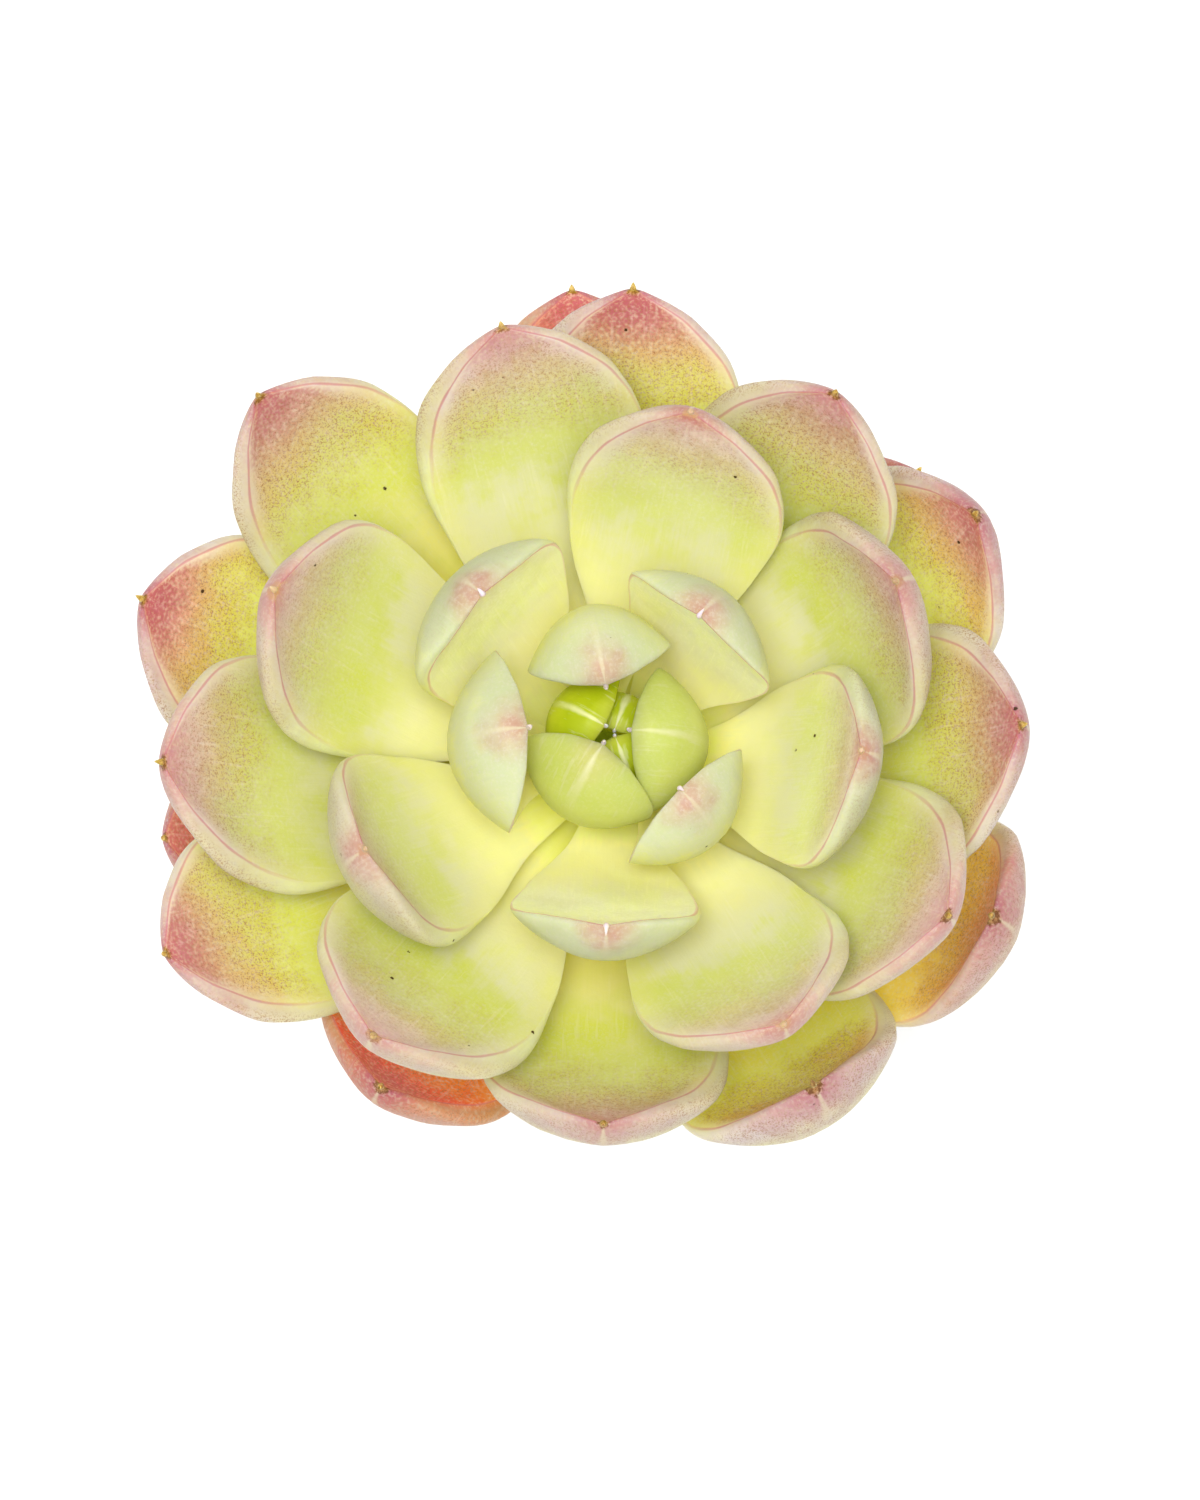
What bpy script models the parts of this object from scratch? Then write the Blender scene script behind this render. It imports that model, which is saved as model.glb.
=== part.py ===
"""A rosette succulent in a plain round pot: pot, potting soil, stem and every leaf as its own solid.

Metres, +Z up. The origin is on the floor under the middle of the pot, and the front is towards -Y.
The leaves follow the plant's own spiral: each next older leaf stands SPIRAL_STEP further round the
stem, a little lower, and leans further out. Every leaf is then let down the stem until it clears
the younger leaves above it, so the rosette nests however its sizes are changed.
"""

from math import asin, atan2, cos, degrees, hypot, radians, sin, sqrt

import bmesh
import bpy
import numpy as np
from mathutils import Vector
from mathutils.bvhtree import BVHTree

MM = 0.001

# Gaps between neighbouring solids.
SEAT_GAP = 0.35 * MM      # soil to pot, stem to soil, leaf to stem
LEAF_GAP = 0.40 * MM      # leaf to leaf
RIM_GAP = 1.0 * MM        # lowest leaf to the pot's rim

# Pot: a turned, tapered ceramic pot with a rolled rim, a foot ring and one drainage hole.
POT_HEIGHT = 58 * MM
POT_RIM_RADIUS = 38 * MM
POT_FOOT_RADIUS = 27 * MM
POT_WALL = 3.6 * MM
POT_FLOOR = 4 * MM
FOOT_WIDTH = 4 * MM
FOOT_HEIGHT = 2 * MM
DRAIN_RADIUS = 6 * MM
POT_SIDES = 48

# Soil.
HEADSPACE = 7 * MM        # rim down to the soil at the wall
SOIL_CROWN = 1.5 * MM     # the soil stands this much higher round the stem
SOIL_SIDES = 36

# Stem.
STEM_RADIUS = 5.5 * MM
STEM_DOME = 11 * MM       # height of the growing tip's dome
STEM_BARE = 3 * MM        # least length of bare stem over the soil
STEM_BURIED = 9 * MM
STEM_SIDES = 20

# Leaf spiral.
SPIRAL_START = 420.5      # degrees, of the youngest leaf, from +X towards +Y
SPIRAL_STEP = -137.5      # degrees from each leaf to the next older one
LEAF_SPACING = 0.60 * MM  # down the stem from each leaf to the next older one
FIRST_LEAF_DROP = 0.2 * MM
MATURE_WIDTH = 24 * MM
MATURE_THICKNESS = 6.0 * MM
MATURE_CUP = 2.0 * MM     # how far the margins rise over the midrib, past the middle
MATURE_CROWN = 0.8 * MM   # how far the midrib rises over the margins, at the base
LEAF_BANDS = 9
SETTLE_STEP = 0.25 * MM

# Leaf outline and thickness along the blade: (share of the length, share of the full size).
OUTLINE = ((0, 0.24), (0.2, 0.44), (0.45, 0.84), (0.64, 1.0), (0.8, 0.92), (0.92, 0.6), (1, 0))
PLUMPNESS = ((0, 0.45), (0.25, 0.72), (0.55, 1.0), (0.78, 0.95), (0.92, 0.62), (1, 0))
CURL_POWER = 1.5          # above 1, most of the curl is near the tip

# Where a leaf's tip stands over the top of the stem, by its place in the spiral, in mm.
TIP_HEIGHT = ((0, 8), (3, 11), (6, 14.5), (9, 17.5), (13, 18), (18, 14), (24, 8), (30, 1), (38, -8))

# Each leaf, youngest first: degrees off the spiral, reach of the tip from the stem's axis in mm,
# width in mm, curl from base to tip in degrees.
LEAVES = (
    (10, 0.8, 5, 45),
    (7, 0.8, 6, 50),
    (5, 1.2, 8, 60),
    (-13, 2.2, 12.5, 75),
    (9, 2, 13, 85),
    (8, 5.5, 14.5, 100),
    (-1, 7.5, 16, 90),
    (7, 8.5, 18.5, 100),
    (10, 11, 18.5, 85),
    (5, 18.5, 19.5, 75),
    (11, 18, 21, 70),
    (4, 25, 22, 42),
    (-2, 28.5, 22.5, 55),
    (3, 32, 23.5, 42),
    (3, 35, 23.5, 38),
    (1, 36.5, 25, 48),
    (6, 32, 26, 50),
    (-10, 39.5, 26, 48),
    (0, 42.5, 25, 45),
    (2, 38.5, 26, 42),
    (-6, 45.5, 26, 45),
    (4, 41.5, 25.5, 50),
    (-7, 40, 27, 48),
    (-2, 51, 24, 45),
    (1, 41.5, 28, 50),
    (-17, 50.5, 24, 45),
    (2, 47.5, 25.5, 45),
    (-8, 41, 26, 75),
    (-8, 51.5, 25.5, 50),
    (0, 45, 26, 80),
    (-20, 42, 25, 80),
    (-23, 49.5, 23, 55),
    (-4, 43, 26, 90),
    (-13, 47.5, 22, 60),
    (-21, 45.5, 22, 60),
)


def clear_scene():
    for obj in list(bpy.data.objects):
        bpy.data.objects.remove(obj)


def material(name, colour, roughness):
    """A plain Principled material, shared by the pieces of one kind."""
    made = bpy.data.materials.new(name)
    made.use_nodes = True
    shader = made.node_tree.nodes["Principled BSDF"]
    shader.inputs["Base Color"].default_value = (*colour, 1)
    shader.inputs["Roughness"].default_value = roughness
    return made


def smooth_curve(points):
    """A function through the points, with level or even slopes at each, and no overshoot."""
    xs, ys = (np.array(column, float) for column in zip(*points))
    steps = np.diff(ys) / np.diff(xs)
    before, after = steps[:-1], steps[1:]
    inner = np.where(before * after > 0, 2 * before * after / (before + after + 1e-12), 0)
    slopes = np.concatenate([steps[:1], inner, steps[-1:]])

    def value(x):
        i = int(np.clip(np.searchsorted(xs, x, "right") - 1, 0, len(xs) - 2))
        width = xs[i + 1] - xs[i]
        t = (x - xs[i]) / width
        return float(
            ys[i] * (1 + 2 * t) * (1 - t) ** 2
            + slopes[i] * width * t * (1 - t) ** 2
            + ys[i + 1] * t * t * (3 - 2 * t)
            + slopes[i + 1] * width * t * t * (t - 1)
        )

    return value


def add_object(name, mesh_edit, finish):
    """A new object from a closed bmesh, shaded smooth, with its material."""
    mesh = bpy.data.meshes.new(name)
    mesh_edit.to_mesh(mesh)
    mesh_edit.free()
    mesh.shade_smooth()
    mesh.set_sharp_from_angle(angle=radians(50))
    mesh.materials.append(finish)
    obj = bpy.data.objects.new(name, mesh)
    bpy.context.scene.collection.objects.link(obj)
    return obj


def turned(name, profile, sides, finish):
    """A solid turned about Z from (radius, height) points, closed on themselves.

    A point may carry its own (x, y) centre as well, where part of the solid sits off the axis.
    """
    shape = bmesh.new()
    rings = []
    for radius, height, *centre in profile:
        x, y = centre[0] if centre else (0, 0)
        if radius < 1e-9:
            rings.append([shape.verts.new((x, y, height))])
            continue
        turns = [2 * np.pi * i / sides for i in range(sides)]
        rings.append(
            [shape.verts.new((x + radius * cos(a), y + radius * sin(a), height)) for a in turns]
        )
    for low, high in zip(rings, rings[1:] + rings[:1]):
        for i in range(sides):
            j = (i + 1) % sides
            corners = [low[i % len(low)], low[j % len(low)], high[j % len(high)], high[i % len(high)]]
            corners = list(dict.fromkeys(corners))
            if len(corners) > 2:
                shape.faces.new(corners)
    bmesh.ops.recalc_face_normals(shape, faces=shape.faces)
    return add_object(name, shape, finish)


def arc(centre, radius, start, end, steps):
    """Points on an arc in the (radius, height) plane, between two angles in degrees."""
    angles = (radians(start + (end - start) * i / steps) for i in range(steps + 1))
    return [(centre[0] + radius * cos(a), centre[1] + radius * sin(a)) for a in angles]


def pot_outer_radius(height):
    """The pot's outside tapers evenly from its rim down to its foot."""
    return POT_FOOT_RADIUS + (POT_RIM_RADIUS - POT_FOOT_RADIUS) * height / POT_HEIGHT


def make_pot():
    lip = POT_WALL / 2
    floor_top = FOOT_HEIGHT + POT_FLOOR
    round_in = 5 * MM         # the fillet inside, between the floor and the wall
    chamfer = 0.8 * MM        # on the foot ring's outer edge
    inner_floor_radius = pot_outer_radius(floor_top) - POT_WALL
    profile = [
        (DRAIN_RADIUS, FOOT_HEIGHT),
        (POT_FOOT_RADIUS - FOOT_WIDTH, FOOT_HEIGHT),
        (POT_FOOT_RADIUS - FOOT_WIDTH + chamfer, 0),
        (POT_FOOT_RADIUS - chamfer, 0),
        (pot_outer_radius(chamfer), chamfer),
        *arc((POT_RIM_RADIUS - lip, POT_HEIGHT - lip), lip, 0, 180, 6),
        *arc((inner_floor_radius - round_in, floor_top + round_in), round_in, 0, -90, 3),
        (DRAIN_RADIUS, floor_top),
    ]
    glaze = material("white_glaze", (0.86, 0.86, 0.84), 0.25)
    return turned("pot", profile, POT_SIDES, glaze)


def soil_height(radius):
    """The soil's surface: level at the wall, crowned round the stem."""
    wall = POT_RIM_RADIUS - POT_WALL
    return POT_HEIGHT - HEADSPACE + SOIL_CROWN * max(0, 1 - (radius / wall) ** 2)


def make_soil(stem_spot):
    """The soil, with its pocket under the stem's own spot."""
    floor_top = FOOT_HEIGHT + POT_FLOOR
    round_in = 5 * MM
    bottom = floor_top + SEAT_GAP
    top = soil_height(POT_RIM_RADIUS)
    floor_radius = pot_outer_radius(floor_top) - POT_WALL
    lowest_radius = floor_radius - round_in
    wall_radius = pot_outer_radius(top) - POT_WALL - 1.5 * SEAT_GAP
    pocket = STEM_RADIUS + SEAT_GAP
    pocket_floor = soil_height(0) - STEM_BURIED - SEAT_GAP
    x, y = stem_spot
    surface = []
    for share in np.linspace(0, 1, 5):
        radius = wall_radius * 0.97 * (1 - share) + pocket * share
        surface.append((radius, soil_height(radius), (x * share, y * share)))
    profile = [
        (0, bottom),
        (lowest_radius, bottom),
        (floor_radius - 1.5 * SEAT_GAP, bottom + round_in),
        (wall_radius, top - 0.5 * MM),
        *surface,
        (pocket, pocket_floor, stem_spot),
        (0, pocket_floor, stem_spot),
    ]
    peat = material("potting_soil", (0.12, 0.075, 0.045), 0.95)
    return turned("potting_soil", profile, SOIL_SIDES, peat)


def stem_radius(height):
    """The stem's radius at a height below its top, in the plant's own frame."""
    if height <= -STEM_DOME:
        return STEM_RADIUS
    return STEM_RADIUS * sqrt(max(0, 1 - (1 + height / STEM_DOME) ** 2))


def make_stem(spot, top, foot):
    """The stem, from its buried foot to its domed growing tip."""
    dome = [(stem_radius(-STEM_DOME * part), top - STEM_DOME * part) for part in (1, 0.7, 0.4, 0.2, 0.07)]
    profile = [(0, foot), (STEM_RADIUS * 0.8, foot), (STEM_RADIUS, foot + 1.5 * MM), *dome, (0, top)]
    profile = [(*point, spot) for point in profile]
    bark = material("stem_green", (0.46, 0.47, 0.22), 0.6)
    return turned("stem", profile, STEM_SIDES, bark)


def blade_midrib(curl, steps=60):
    """A unit-length midrib that starts level: (along, up, slope) at even steps, curling upwards."""
    shares = (np.arange(steps) + 0.5) / steps
    slopes = radians(curl) * shares**CURL_POWER
    along = np.concatenate([[0], np.cumsum(np.cos(slopes))]) / steps
    up = np.concatenate([[0], np.cumsum(np.sin(slopes))]) / steps
    slope = radians(curl) * np.linspace(0, 1, steps + 1) ** CURL_POWER
    return along, up, slope


outline = smooth_curve(OUTLINE)
plumpness = smooth_curve(PLUMPNESS)
tip_height = smooth_curve(TIP_HEIGHT)
UPPER_FACE = (0.85, 0.5, 0, -0.5, -0.85)
LOWER_FACE = (-1, -0.93, -0.7, -0.37, 0, 0.37, 0.7, 0.93, 1)


def blade_section(share, width, thickness, growth):
    """One ring across the blade: (sideways, over the midrib) points, upper face first."""
    half = width / 2 * outline(share)
    thick = thickness * plumpness(share)
    rise = growth * outline(share) * (MATURE_CUP * share**2 - MATURE_CROWN * (1 - share) ** 2)
    keel = 2 - 0.6 * share**3
    upper = [(half * u, rise * u * u) for u in UPPER_FACE]
    lower = [
        (half * u, rise * u * u - thick * max(0, 1 - abs(u) ** keel) ** 0.62) for u in LOWER_FACE
    ]
    return upper + lower


def blade_points(base_radius, base_height, reach, rise_to, width, thickness, curl, bands):
    """Rings of points of one leaf in the plant's frame, growing along +X, with its tip last."""
    along, up, slope = blade_midrib(curl)
    chord = hypot(along[-1], up[-1])
    run, climb = reach - base_radius, rise_to - base_height
    length = hypot(run, climb) / chord
    lean = atan2(climb, run) - atan2(up[-1], along[-1])
    growth = width / MATURE_WIDTH
    shares = 1 - (1 - np.linspace(0, 1, bands + 1)) ** 1.25
    rings = []
    for share in shares:
        x0 = length * np.interp(share, np.linspace(0, 1, len(along)), along)
        z0 = length * np.interp(share, np.linspace(0, 1, len(up)), up)
        x = base_radius + x0 * cos(lean) - z0 * sin(lean)
        z = base_height + x0 * sin(lean) + z0 * cos(lean)
        tilt = lean + np.interp(share, np.linspace(0, 1, len(slope)), slope)
        if share == 0:
            tilt = max(tilt, 0)     # a drooping leaf's base still stands upright against the stem
        ring = [
            (x - over * sin(tilt), side, z + over * cos(tilt))
            for side, over in blade_section(share, width, thickness, growth)
        ]
        rings.append(ring)
    rings[-1] = [rings[-1][0]]
    return rings, length, degrees(lean)


def blade_faces(rings):
    """Quads between the rings, triangles at the tip and a cap at the base, as index tuples."""
    count = len(rings[0])
    faces = [tuple(range(count))]
    for band in range(len(rings) - 2):
        for i in range(count):
            j = (i + 1) % count
            low, high = band * count, (band + 1) * count
            faces.append((low + i, high + i, high + j, low + j))
    low, tip = (len(rings) - 2) * count, (len(rings) - 1) * count
    faces += [(low + i, tip, low + (i + 1) % count) for i in range(count)]
    return faces


def turn(points, azimuth):
    """Points turned about Z by an azimuth in degrees."""
    c, s = cos(radians(azimuth)), sin(radians(azimuth))
    return points @ np.array([[c, s, 0], [-s, c, 0], [0, 0, 1]])


def leaf_bmesh(points, faces):
    shape = bmesh.new()
    verts = [shape.verts.new(p) for p in points]
    for face in faces:
        shape.faces.new([verts[i] for i in face])
    bmesh.ops.recalc_face_normals(shape, faces=shape.faces)
    shape.normal_update()
    return shape


def swollen_tree(points, faces, by):
    """A search tree of the leaf's surface moved out by a distance, to test for clearance."""
    shape = leaf_bmesh(points, faces)
    bmesh.ops.triangulate(shape, faces=shape.faces)
    for vert in shape.verts:
        vert.co += vert.normal * by
    tree = BVHTree.FromBMesh(shape)
    shape.free()
    return tree


def grow_rosette():
    """Every leaf's points in the plant's frame, youngest first, each let down until it is clear."""
    grown = []
    for place, (off_spiral, reach, width, curl) in enumerate(LEAVES):
        azimuth = SPIRAL_START + SPIRAL_STEP * place + off_spiral
        width *= MM
        thickness = MATURE_THICKNESS * width / MATURE_WIDTH
        height = -FIRST_LEAF_DROP - LEAF_SPACING * place
        drop = 0
        while True:
            seat = stem_radius(height - drop) + SEAT_GAP
            rings, length, lean = blade_points(
                seat, height - drop, reach * MM, tip_height(place) * MM - drop,
                width, thickness, curl, LEAF_BANDS,
            )
            faces = blade_faces(rings)
            points = turn(np.array([p for ring in rings for p in ring]), azimuth)
            tree = swollen_tree(points, faces, LEAF_GAP / 2)
            if not any(tree.overlap(other) for _, _, other in grown):
                break
            drop += SETTLE_STEP
            if drop > 20 * MM:
                break
        print(f"leaf {place + 1:2d}: length {length / MM:5.1f} lean {lean:6.1f} drop {drop / MM:5.2f}")
        grown.append((points, faces, tree))
    return [(points, faces) for points, faces, _ in grown]


def main():
    clear_scene()
    make_pot()
    leaves = grow_rosette()
    everything = np.concatenate([points for points, _ in leaves])
    centre = (everything.min(0) + everything.max(0)) / 2
    outwards = np.hypot(everything[:, 0] - centre[0], everything[:, 1] - centre[1])
    over_rim = everything[outwards > POT_RIM_RADIUS - POT_WALL - RIM_GAP, 2].min()
    top = max(
        POT_HEIGHT + RIM_GAP - over_rim,
        soil_height(0) + STEM_BARE - everything[:, 2].min(),
    )
    spot = (-centre[0], -centre[1])
    make_soil(spot)
    make_stem(spot, top, soil_height(0) - STEM_BURIED)
    green = material("leaf_green", (0.72, 0.76, 0.30), 0.42)
    for number, (points, faces) in enumerate(leaves, 1):
        placed = points + (-centre[0], -centre[1], top)
        add_object(f"leaf_{number:02d}", leaf_bmesh(placed, faces), green)
    print("centre", centre / MM, "top", top / MM)


main()
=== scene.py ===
import random
from math import atan2, cos, hypot, pi, radians, sin, sqrt

import bpy
import numpy as np
from mathutils import Matrix, Vector, noise


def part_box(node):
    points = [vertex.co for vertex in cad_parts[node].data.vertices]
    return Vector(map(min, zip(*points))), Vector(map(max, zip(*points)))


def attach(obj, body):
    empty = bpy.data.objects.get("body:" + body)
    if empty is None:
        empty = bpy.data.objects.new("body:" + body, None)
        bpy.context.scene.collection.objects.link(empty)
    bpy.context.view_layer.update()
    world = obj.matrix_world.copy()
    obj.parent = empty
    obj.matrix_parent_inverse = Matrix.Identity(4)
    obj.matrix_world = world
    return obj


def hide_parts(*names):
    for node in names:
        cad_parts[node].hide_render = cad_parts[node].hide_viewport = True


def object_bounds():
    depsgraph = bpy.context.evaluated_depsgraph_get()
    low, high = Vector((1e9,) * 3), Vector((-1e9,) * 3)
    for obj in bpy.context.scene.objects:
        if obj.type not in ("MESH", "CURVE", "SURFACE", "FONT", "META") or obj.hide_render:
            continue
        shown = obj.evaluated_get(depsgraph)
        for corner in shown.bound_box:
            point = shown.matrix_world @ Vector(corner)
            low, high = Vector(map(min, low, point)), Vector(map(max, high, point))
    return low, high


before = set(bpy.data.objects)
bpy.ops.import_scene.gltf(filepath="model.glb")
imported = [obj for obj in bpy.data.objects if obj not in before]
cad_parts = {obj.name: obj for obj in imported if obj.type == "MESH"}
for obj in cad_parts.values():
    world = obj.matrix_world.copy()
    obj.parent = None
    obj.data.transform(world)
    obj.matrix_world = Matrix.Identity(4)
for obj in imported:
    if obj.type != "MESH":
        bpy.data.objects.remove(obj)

mm = 0.001
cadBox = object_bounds()
random.seed(12)

stemLow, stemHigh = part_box("stem")
stemSpot = Vector(((stemLow.x + stemHigh.x) / 2, (stemLow.y + stemHigh.y) / 2, 0))
stemTop = stemHigh.z
stemWidth = (stemHigh.x - stemLow.x) / 2
print("frame loaded, plant's height", round(stemTop, 4))


def deselect():
    # back in object mode, with nothing selected
    if bpy.context.object and bpy.context.object.mode != "OBJECT":
        bpy.ops.object.mode_set(mode="OBJECT")
    bpy.ops.object.select_all(action="DESELECT")


def linear(red, green, blue):
    # a colour as it is seen on screen, 0 to 255, made linear
    channels = [c / 255 for c in (red, green, blue)]
    return (*[c / 12.92 if c < 0.04045 else ((c + 0.055) / 1.055) ** 2.4 for c in channels], 1)


def smoothCurve(points):
    # a curve through (place, value) points that never overshoots them
    xs, ys = (np.array(column, float) for column in zip(*points))
    steps = np.diff(ys) / np.diff(xs)
    before, after = steps[:-1], steps[1:]
    inner = np.where(before * after > 0, 2 * before * after / (before + after + 1e-12), 0)
    slopes = np.concatenate([steps[:1], inner, steps[-1:]])

    def value(x):
        i = np.clip(np.searchsorted(xs, x, "right") - 1, 0, len(xs) - 2)
        width = xs[i + 1] - xs[i]
        t = (x - xs[i]) / width
        return (ys[i] * (1 + 2 * t) * (1 - t) ** 2 + slopes[i] * width * t * (1 - t) ** 2
                + ys[i + 1] * t * t * (3 - 2 * t) + slopes[i + 1] * width * t * t * (t - 1))

    return value


def meshPoints(obj):
    flat = np.empty(len(obj.data.vertices) * 3)
    obj.data.vertices.foreach_get("co", flat)
    return flat.reshape(-1, 3)


def setPoints(obj, points):
    obj.data.vertices.foreach_set("co", np.ascontiguousarray(points, dtype=float).ravel())
    obj.data.update()


def setAttribute(obj, name, values):
    layer = obj.data.attributes.new(name, "FLOAT", "POINT")
    layer.data.foreach_set("value", np.ascontiguousarray(values, dtype=np.float32))


def useMaterial(obj, material):
    obj.data.materials.clear()
    obj.data.materials.append(material)


def newMaterial(name):
    material = bpy.data.materials.new(name)
    material.use_nodes = True
    tree = material.node_tree
    return material, tree, tree.nodes["Principled BSDF"]


def addNode(tree, kind, inputs, **settings):
    made = tree.nodes.new(kind)
    for name, value in settings.items():
        setattr(made, name, value)
    for socket, value in inputs.items():
        if isinstance(value, bpy.types.NodeSocket):
            tree.links.new(value, made.inputs[socket])
        else:
            made.inputs[socket].default_value = value
    return made


def attribute(tree, name):
    return addNode(tree, "ShaderNodeAttribute", {}, attribute_name=name).outputs["Fac"]


def objectPlace(tree):
    return addNode(tree, "ShaderNodeTexCoord", {}).outputs["Object"]


def maths(tree, operation, a, b=0.0, clamp=False):
    return addNode(tree, "ShaderNodeMath", {0: a, 1: b}, operation=operation, use_clamp=clamp).outputs[0]


def noiseValue(tree, place, scale, detail=2.0, roughness=0.5):
    inputs = {"Vector": place, "Scale": scale, "Detail": detail, "Roughness": roughness}
    return addNode(tree, "ShaderNodeTexNoise", inputs).outputs["Fac"]


def fade(tree, value, low, high):
    # 0 below low, 1 above high, smooth between; low may be the larger
    inputs = {"Value": value, "From Min": low, "From Max": high, "To Min": 0.0, "To Max": 1.0}
    return addNode(tree, "ShaderNodeMapRange", inputs, interpolation_type="SMOOTHSTEP").outputs[0]


def mixColour(tree, share, a, b, blend="MIX"):
    inputs = {0: share, 6: a, 7: b}
    return addNode(tree, "ShaderNodeMix", inputs, data_type="RGBA", blend_type=blend).outputs[2]


def ramp(tree, value, stops):
    made = addNode(tree, "ShaderNodeValToRGB", {0: value})
    line = made.color_ramp
    line.interpolation = "EASE"
    while len(line.elements) < len(stops):
        line.elements.new(0.5)
    for element, (place, colour) in zip(line.elements, stops):
        element.position = place
        element.color = linear(*colour)
    return made.outputs[0]


def plus(tree, *values):
    result = values[0]
    for value in values[1:]:
        result = maths(tree, "ADD", result, value)
    return result


def product(tree, *values):
    result = values[0]
    for value in values[1:]:
        result = maths(tree, "MULTIPLY", result, value)
    return result


def centred(tree, noiseSocket, width):
    # a noise, spread about nothing and this wide
    return product(tree, plus(tree, noiseSocket, -0.5), width)


def rest(tree, value):
    return maths(tree, "SUBTRACT", 1.0, value)


view = {
    "elevation": 80,          # degrees over the horizon, from the front
    "distance": 0.5,
    "frameHeight": 0.150,     # what the long side of the view takes in at the rosette
    "heartHeight": 8 * mm,    # the heart's tips over the stem's top
    "aside": -1.34 * mm,      # the view's middle from the heart, to the right and up
    "upwards": -1.66 * mm,
    "sensor": 36,             # millimetres, on the long side
    "nearest": 10 * mm,       # nothing closer than this is drawn
}

tilt = radians(view["elevation"])
right = Vector((1, 0, 0))
up = Vector((0, sin(tilt), cos(tilt)))
back = Vector((0, -cos(tilt), sin(tilt)))
heart = stemSpot + Vector((0, 0, stemTop + view["heartHeight"]))
target = heart + view["aside"] * right + view["upwards"] * up

cameraData = bpy.data.cameras.new("studioCamera")
camera = bpy.data.objects.new("studioCamera", cameraData)
bpy.context.scene.collection.objects.link(camera)
camera.location = target + back * view["distance"]
camera.rotation_mode = "QUATERNION"
camera.rotation_quaternion = (-back).to_track_quat("-Z", "Y")
cameraData.sensor_width = view["sensor"]
cameraData.lens = view["sensor"] * view["distance"] / view["frameHeight"]
cameraData.clip_start = view["nearest"]
bpy.context.scene.camera = camera

studio = {
    "sky": 0.7,
    "lamps": (
        # name, metres right, up and back from the plant as the camera sees it, size, watts
        ("keyLamp", (-0.1, 0.1, 1.0), 0.4, 7.4),
        ("fillLamp", (0.08, -0.06, 1.0), 0.6, 4.5),
    ),
    "floorSize": 6.0,
    "floorShade": 0.94,
    "floorRoughness": 0.9,
}

world = bpy.data.worlds.new("studioSky")
bpy.context.scene.world = world
world.use_nodes = True
sky = world.node_tree.nodes["Background"]
sky.inputs["Color"].default_value = (1, 1, 1, 1)
sky.inputs["Strength"].default_value = studio["sky"]
bpy.context.scene.view_settings.view_transform = "Standard"

for lampName, lampPlace, lampSize, watts in studio["lamps"]:
    lampData = bpy.data.lights.new(lampName, "AREA")
    lampData.energy = watts
    lampData.size = lampSize
    lamp = bpy.data.objects.new(lampName, lampData)
    bpy.context.scene.collection.objects.link(lamp)
    lamp.location = target + lampPlace[0] * right + lampPlace[1] * up + lampPlace[2] * back
    lamp.rotation_mode = "QUATERNION"
    lamp.rotation_quaternion = (target - lamp.location).to_track_quat("-Z", "Y")

deselect()
bpy.ops.mesh.primitive_plane_add(size=studio["floorSize"])
floor = bpy.context.object
floor.name = "floor"
floorPaper, tree, shader = newMaterial("floorPaper")
shader.inputs["Base Color"].default_value = (*[studio["floorShade"]] * 3, 1)
shader.inputs["Roughness"].default_value = studio["floorRoughness"]
shader.inputs["Specular IOR Level"].default_value = 0.1
useMaterial(floor, floorPaper)
print("camera, lamps and floor ready")


rosette = {
    "spiralStart": 420.5,     # degrees, of the youngest leaf
    "spiralStep": -137.5,     # degrees on to each older leaf
    "firstDrop": 0.2 * mm,
    "spacing": 0.6 * mm,      # down the stem, leaf to leaf
    "gap": 0.35 * mm,         # leaf to stem
    "domeHeight": 11 * mm,
    "heartWidening": (2.1, 1.9, 1.5, 1.15, 1.15),
    "heartPlumping": (2.6, 2.3, 1.8, 1.5, 1.15, 1.4, 1.15, 1.1),
    "tipHeights": ((0, 8), (3, 11), (6, 14.5), (9, 17.5), (13, 18), (18, 14), (24, 8), (30, 1), (38, -8)),
    # youngest first: degrees off the spiral, reach in mm, width in mm, curl in degrees
    "leaves": (
        (10, 0.3, 5, 45), (7, 0.4, 6, 50), (5, 0.9, 8, 60), (-13, 1.7, 12.5, 78), (9, 2, 13, 85),
        (8, 4.0, 14.5, 108), (-1, 9.4, 16, 70), (7, 8.5, 18.5, 96), (10, 13.4, 18.5, 66),
        (5, 20.9, 19.5, 50), (11, 18, 21, 70), (4, 24.8, 22, 52), (-2, 28.0, 22.5, 68),
        (3, 32, 23.5, 42), (3, 35, 23.5, 38), (1, 36.3, 25, 55), (6, 31.6, 26, 62),
        (-10, 39.5, 26, 48), (0, 42.5, 25, 45), (2, 38.5, 26, 42), (-6, 45.5, 26, 45),
        (4, 41.5, 25.5, 50), (-7, 39.6, 27, 64), (-2, 50.6, 24, 60), (1, 41.5, 28, 50),
        (-17, 50.5, 24, 45), (2, 47.5, 25.5, 45), (-8, 40.5, 26, 112), (-8, 51, 25.5, 62),
        (0, 44.7, 26, 87), (-20, 42, 25, 80), (-23, 49.5, 23, 55), (-4, 42.5, 26, 118),
        (-13, 47.5, 22, 60), (-21, 45.5, 22, 60),
    ),
}

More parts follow.
